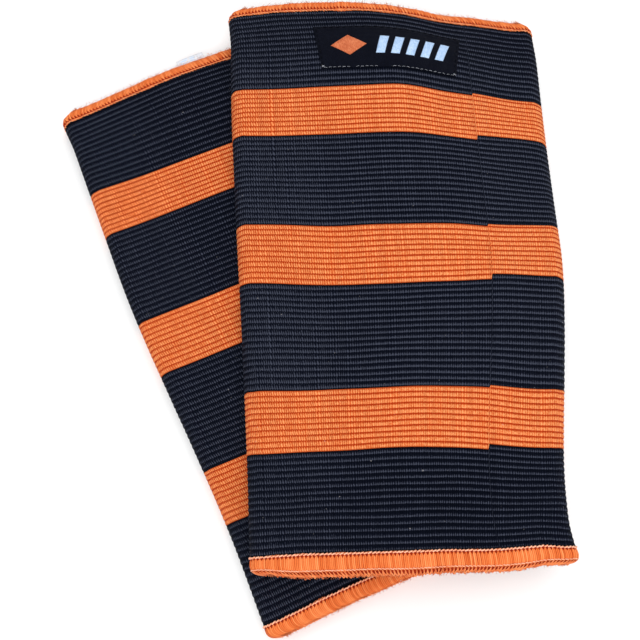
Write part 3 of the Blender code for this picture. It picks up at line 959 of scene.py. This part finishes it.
def woven_label(material):
    across, along = np.meshgrid(np.linspace(-0.5, 0.5, 187) * LABEL_SIZE[0],
                                np.linspace(-0.5, 0.5, 61) * LABEL_SIZE[1])
    piece = label_plate("woven_label_satin", across, along, 0.0, label_swell(across, along),
                        material)
    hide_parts("woven_label")
    return piece


def stitch_run(start, end, sizes, chance):
    """Feet of the stitches along a straight run on the label; sizes are a stitch and its gap."""
    start, way = np.array(start), np.subtract(end, start)
    stitch, gap = sizes
    count = int(np.linalg.norm(way) / (stitch + gap))
    first = (np.arange(count) + 0.5 * gap / (stitch + gap)) / count
    share = stitch / (stitch + gap) / count
    wobble = chance.normal(0.0, 0.00006, (count, 2))
    return [(start + way * at + shift, start + way * (at + share) - shift)
            for at, shift in zip(first, wobble)]


def stitched(name, feet, radius, rise, material):
    """Stitches that dip into the label at both ends."""
    step = np.linspace(0.0, 1.0, 7)
    starts, ends = np.array(feet).transpose(1, 2, 0)[..., None]
    across, along = starts + (ends - starts) * step
    height = label_swell(across, along) - 0.00012 + rise * np.sin(math.pi * step)
    piece = thread_tubes(name, on_label(across, along, height), UP, radius, material)
    return piece


def label_stitching(materials):
    """Black stitching on three sides of the label and a worn pale row along its foot."""
    chance = np.random.default_rng(31)
    half_u, half_v = np.array(LABEL_SIZE) / 2 - STITCH_INSET
    dark = stitch_run((-half_u, half_v), (half_u, half_v), SIDE_STITCH, chance)
    for side in (-half_u, half_u):
        dark += stitch_run((side, -half_v), (side, half_v), SIDE_STITCH, chance)
    pieces = [stitched("label_side_stitches", dark, 0.00020, 0.00030, materials["stitch"])]
    foot = FOOT_INSET - LABEL_SIZE[1] / 2
    pale = stitch_run((-half_u, foot), (half_u, foot), FOOT_STITCH, chance)
    pale = [pair for pair in pale if chance.random() > WORN_AWAY]
    pieces.append(stitched("label_foot_stitches", pale, 0.00010, 0.00022, materials["lint"]))
    knots = [((side * half_u - 0.0006, foot + low), (side * half_u + 0.0006, foot + high))
             for side in (-1.0, 1.0) for low, high in ((0.0002, 0.0008), (0.0009, 0.0001))]
    pieces.append(stitched("label_corner_knots", knots, 0.00018, 0.00040, materials["lint"]))
    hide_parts("label_stitching")
    return pieces


def raised_patch(node, corner, size, material):
    """Satin embroidery: a padded patch with thread ridges between two curved sides."""
    u, v = np.meshgrid(np.linspace(-1.0, 1.0, size[0]), np.linspace(-1.0, 1.0, size[1]))
    across, along = corner(u, v)
    room = np.minimum(1.0 - np.abs(u), 1.0 - np.abs(v))
    pad = np.sqrt(np.clip(room / 0.30, 0.0, 1.0))
    ridge = np.abs(np.sin(math.pi * (across + 0.2 * along) / 0.00040))
    height = 0.00008 + 0.00038 * pad + 0.00005 * ridge * pad
    swell = label_swell(across, along)
    piece = label_plate(f"{node}_embroidery", across, along, swell - PATCH_SUNK, swell + height,
                        material)
    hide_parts(node)
    return piece


def diamond(u, v):
    """A rhombus, from a square of parameters."""
    return EMBLEM_MIDDLE + EMBLEM_HALF[0] * (u - v) / 2.0, EMBLEM_HALF[1] * (u + v) / 2.0


def emblem_pieces(materials):
    pieces = [raised_patch("label_emblem", diamond, (49, 49), materials["emblem"])]
    for number in range(BAR_COUNT):
        def bar(u, v, middle=BAR_START + BAR_PITCH * number):
            return middle + BAR_HALF[0] * u + BAR_LEAN * v, BAR_HALF[1] * v

        pieces.append(raised_patch(f"label_bar_{number + 1}", bar, (25, 49), materials["bars"]))
    return pieces


def care_label(material):
    """A folded tape that comes out from under the rear sleeve's upper lip."""
    inside, outside = KNIT_LENGTH - CARE_INSIDE, KNIT_LENGTH + REAR.hems[1] + CARE_OUTSIDE
    share = np.linspace(0.0, 1.0, 41)[:, None]
    u = np.linspace(-0.5, 0.5, 27) * CARE_WIDTH
    fold = 0.00035
    along = inside + (outside - inside) * share + 0.0 * u
    curl = 0.0009 * smooth((share - 0.70) / 0.30) * (u / CARE_WIDTH + 0.5)
    middle = curl - WALL - HEM_PROUD - 0.0004 - fold
    half = fold * np.sqrt(1.0 - smooth((share - 0.975) / 0.025) ** 2 * 0.96)
    top = top_point(REAR, CARE_MIDDLE + u, along, middle + half)
    bottom = top_point(REAR, CARE_MIDDLE + u, along, middle - half)
    place = np.stack([u + 0.0 * share, along - inside], axis=-1)
    piece = closed_plate("rear_care_label_tape", top, bottom, place, material)
    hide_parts("rear_care_label")
    return piece


# ---- assembly


def make_materials():
    return {
        # after each knit's yarn colours comes the colour of the painted shadow at its band's edges
        "black": knit_material("black_knit_yarn", BLACK_YARN, (0.0010, 0.0010, 0.0018),
                               level=1.35, groove_shade=1.10, groove_reach=(-0.25, 0.98),
                               gap_shade=0.44, dim=0.14, sheen=0.0),
        "orange": knit_material("orange_knit_yarn", ORANGE_YARN, (0.50, 0.070, 0.012),
                                level=0.88, groove_shade=0.95, groove_reach=(0.42, 1.0),
                                gap_shade=0.34, dim=0.0, sheen=0.04),
        "lower_hem": hem_material("lower_hem_thread", ORANGE_THREAD, *LOWER_HOLES),
        "upper_hem": hem_material("upper_hem_thread", ORANGE_THREAD, *UPPER_HOLES),
        "lower_loops": thread_material("needle_loop_thread", NEEDLE_LOOP_HIGHLIGHT_THREAD),
        "edge": thread_material("edge_chain_thread", ORANGE_THREAD),
        "upper_loops": thread_material("upper_loop_thread", LOOP_THREAD),
        "label": satin_material("label_black_satin", LABEL_SATIN, 3600.0, 0.70),
        "stitch": thread_material("label_black_thread", LABEL_THREAD, roughness=0.8,
                                  specular=0.05, sheen=0.0),
        "lint": thread_material("label_pale_thread", WORN_THREAD),
        "emblem": satin_material("emblem_embroidery", EMBLEM_THREAD, 2500.0, 0.45, 0.2),
        "bars": satin_material("bar_embroidery", BAR_THREAD, 2500.0, 0.45, 0.2),
        "tape": tape_material("care_label_tape"),
    }


def knit_bands(prefix, sleeve, materials):
    return [knit_band(prefix, sleeve, number, materials[name.split("_")[0]])
            for number, (name, _, _) in enumerate(BANDS)]


def build_rear(materials):
    bands = knit_bands("rear", REAR, materials)
    hems = hem_pieces("rear", REAR, "lower", materials)
    hems += hem_pieces("rear", REAR, "upper", materials)
    hems.append(care_label(materials["tape"]))
    for piece in bands + hems:
        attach(piece, "rear_sleeve")
    declare(bands, REAR, hems)


def build_front(materials):
    hinge = next(low for name, low, _ in band_edges() if name == HINGE_BAND)
    bands = knit_bands("front", FRONT, materials)
    for piece, (name, low, _) in zip(bands, band_edges()):
        body = "front_sleeve_" + ("lower" if low < hinge - RIB_PITCH else "upper")
        if abs(low - hinge) < 0.060 and name not in ("orange_band_1", "orange_band_3"):
            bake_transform(piece)
        else:
            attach(piece, body)
    extras = []
    for place in ("lower", "upper"):
        for piece in hem_pieces("front", FRONT, place, materials):
            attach(piece, "front_sleeve_" + place)
            extras.append(piece)
    labels = [woven_label(materials["label"])] + label_stitching(materials)
    labels += emblem_pieces(materials)
    for piece in labels:
        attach(piece, "front_sleeve_upper")
    declare(bands, FRONT, extras + labels)


def declare(bands, sleeve, extras):
    """Works out each band's girth at its middle and its length, but makes no use of them."""
    for piece, (_, low, high) in zip(bands, band_edges()):
        girth = girth_marks(sleeve, (low + high) / 2)[4]
        high - low


def add_floor():
    bpy.ops.mesh.primitive_plane_add(size=3.0, location=(0.0, 0.0, -0.0002))
    floor = bpy.context.object
    floor.name = "floor"
    floor.data.materials.append(Paint("pale_floor", 0.9).finish((0.95, 0.95, 0.95)))


CAMERA_TILT = math.radians(18.0)
CAMERA_DISTANCE = 0.3755
CAMERA_AIM = (0.00759, -0.00928, 0.0)
CAMERA_LENS = 48.375


def add_camera():
    camera = bpy.data.objects.new("camera", bpy.data.cameras.new("camera"))
    camera.data.sensor_width = 36.0
    camera.data.lens = CAMERA_LENS
    camera.data.clip_start = 0.01
    camera.rotation_euler = (CAMERA_TILT, 0.0, 0.0)
    camera.location = (CAMERA_AIM[0], CAMERA_AIM[1] - CAMERA_DISTANCE * math.sin(CAMERA_TILT),
                       CAMERA_DISTANCE * math.cos(CAMERA_TILT))
    put_in_scene(camera)
    bpy.context.scene.camera = camera


def add_light(name, place, size, power):
    """A soft box that faces the origin."""
    lamp = bpy.data.objects.new(name, bpy.data.lights.new(name, "AREA"))
    lamp.data.shape = "RECTANGLE"
    lamp.data.size, lamp.data.size_y = size
    lamp.data.energy = power
    lamp.location = place
    x, y, z = place
    lamp.rotation_euler = (math.atan2(math.hypot(x, y), z), 0.0, math.atan2(x, -y))
    put_in_scene(lamp)


def add_studio():
    """Soft light from the foot's side and above, and an even pale surround."""
    add_floor()
    add_light("key", (0.10, -0.80, 1.05), (0.60, 0.50), 7.5)
    add_light("overhead", (0.1, 0.3, 1.3), (1.6, 1.6), 10.0)
    world = bpy.data.worlds.new("studio")
    world.use_nodes = True
    sky = world.node_tree.nodes["Background"].inputs
    sky["Color"].default_value = (1.0, 1.0, 1.0, 1.0)
    sky["Strength"].default_value = 0.58
    bpy.context.scene.world = world
    bpy.context.scene.view_settings.view_transform = "Standard"


add_camera()
finishes = make_materials()
build_rear(finishes)
build_front(finishes)
add_studio()
